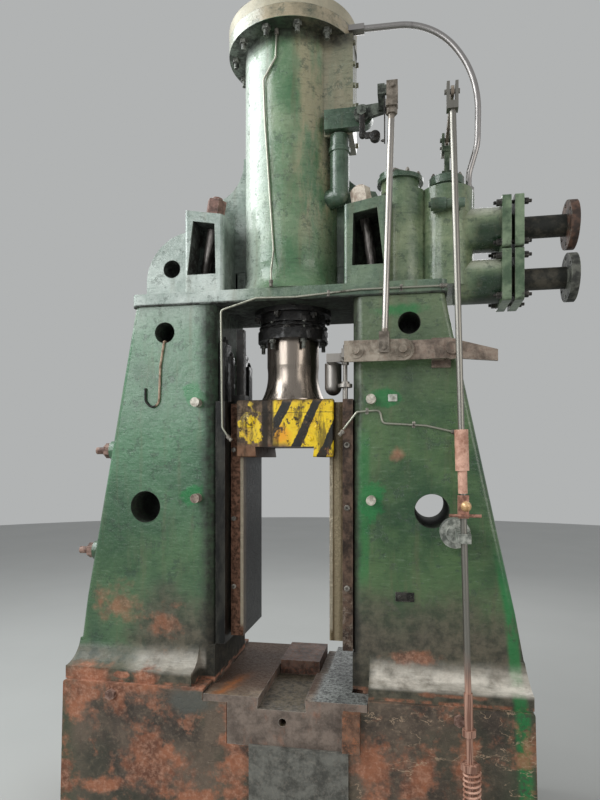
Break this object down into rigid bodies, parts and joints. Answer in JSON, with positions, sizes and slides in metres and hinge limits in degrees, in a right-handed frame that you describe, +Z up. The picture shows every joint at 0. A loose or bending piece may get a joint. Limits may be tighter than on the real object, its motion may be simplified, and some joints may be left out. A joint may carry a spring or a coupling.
{
  "type": "forging hammer",
  "caption": "Double-frame steam forging hammer with striped ram, tall cylinder, valve chest and side rods on a heavy bed.",
  "frame": {"origin": "on the floor under the bed, on the axis of the piston rod", "axes": "+Z up along the rod, +X to the right seen from the front, -Y towards the person who works at it"},
  "size_m": [2.1955, 0.8998, 3.676],
  "materials": {
    "bed_paint": "old green paint, rusted along the foot",
    "column_paint": "old mint and green paint, grease streaks",
    "upper_paint": "pale mint paint, dusty",
    "chest_paint": "green paint, grease",
    "worn_iron": "worn and pitted",
    "greasy_iron": "dark grease",
    "rusty_steel": "rusted steel",
    "grey_plate": "grey worn plate",
    "bright_steel": "bright worn steel with oil",
    "greasy_steel": "dark oily steel",
    "black_steel": "black",
    "green_bolt": "green paint over steel",
    "ram_paint": "yellow and black stripes, worn",
    "white_tube": "pale thin tube"
  },
  "bodies": {
    "frame": {"bed": "bed_paint", "frame_bolts": "green_bolt", "sow_block": "worn_iron", "wedge_key": "rusty_steel", "slot_block": "rusty_steel", "apron_plate": "grey_plate", "right_column": "column_paint", "left_column": "column_paint", "guides": "bright_steel", "gibs": "greasy_iron", "top_casting": "upper_paint", "tie_bolts": "rusty_steel", "cylinder": "upper_paint", "cylinder_cover": "upper_paint", "cylinder_studs": "black_steel", "gland_neck": "greasy_iron", "gland_flange": "greasy_iron", "steam_port": "upper_paint", "downpipe": "upper_paint", "rocker_bracket": "upper_paint", "valve_chest": "chest_paint", "chest_caps": "chest_paint", "steam_lines": "chest_paint", "balance_pipe": "bright_steel", "lever_bracket": "column_paint", "throttle_post": "greasy_steel", "rod_guides": "column_paint", "return_spring": "greasy_steel", "buffer_post": "black_steel", "lever_stop": "greasy_steel", "oil_tubes": "white_tube", "hanging_hook": "rusty_steel"},
    "ram_body": {"ram": "ram_paint", "piston_rod": "bright_steel"},
    "lever_body": {"valve_lever": "green_bolt", "lever_link": "rusty_steel", "lever_shoe": "bright_steel"},
    "valve_rod_body": {"valve_rod": "bright_steel"},
    "rocker_body": {"valve_rocker": "upper_paint"},
    "throttle_body": {"throttle_rod": "bright_steel", "rod_sleeve": "rusty_steel", "rod_handle": "greasy_steel"},
    "throttle_rocker_body": {"throttle_rocker": "greasy_steel"},
    "spindle_body": {"throttle_spindle": "black_steel"}
  },
  "joints": [
    {"name": "ram_slide", "type": "slide", "parent": "frame", "child": "ram_body", "axis": [0, 0, 1], "range_m": [-0.7, 0]},
    {"name": "lever_pivot", "type": "hinge", "parent": "frame", "child": "lever_body", "pos_m": [0.695, -0.33, 2.034], "axis": [0, 1, 0], "range_deg": [0, 5]},
    {"name": "valve_rod_pivot", "type": "hinge", "parent": "lever_body", "child": "valve_rod_body", "pos_m": [0.435, -0.33, 2.042], "axis": [0, -1, 0], "range_deg": [-0.5, 6]},
    {"name": "rocker_pivot", "type": "hinge", "parent": "frame", "child": "rocker_body", "pos_m": [0.336, -0.33, 3.06], "axis": [0, -1, 0], "range_deg": [-0.5, 10.5]},
    {"name": "throttle_slide", "type": "slide", "parent": "frame", "child": "throttle_body", "axis": [-0.0254, 0, 0.9997], "range_m": [-0.03, 0], "stiffness_N_per_m": 4000, "springref_m": 0.06, "deforming": ["return_spring"]},
    {"name": "throttle_rocker_pivot", "type": "hinge", "parent": "frame", "child": "throttle_rocker_body", "pos_m": [0.69, -0.105, 2.966], "axis": [-1, 0, 0], "range_deg": [-6, 0.5]},
    {"name": "spindle_slide", "type": "slide", "parent": "frame", "child": "spindle_body", "axis": [0, 0, 1], "range_m": [-0.001, 0.009]}
  ],
  "couplings": [
    {"joint": "valve_rod_pivot", "follows": "lever_pivot", "ratio": 1.064},
    {"joint": "rocker_pivot", "follows": "lever_pivot", "ratio": 2},
    {"joint": "throttle_rocker_pivot", "follows": "throttle_slide", "rad_per_m": 2.8986},
    {"joint": "spindle_slide", "follows": "throttle_slide", "ratio": -0.1884}
  ]
}
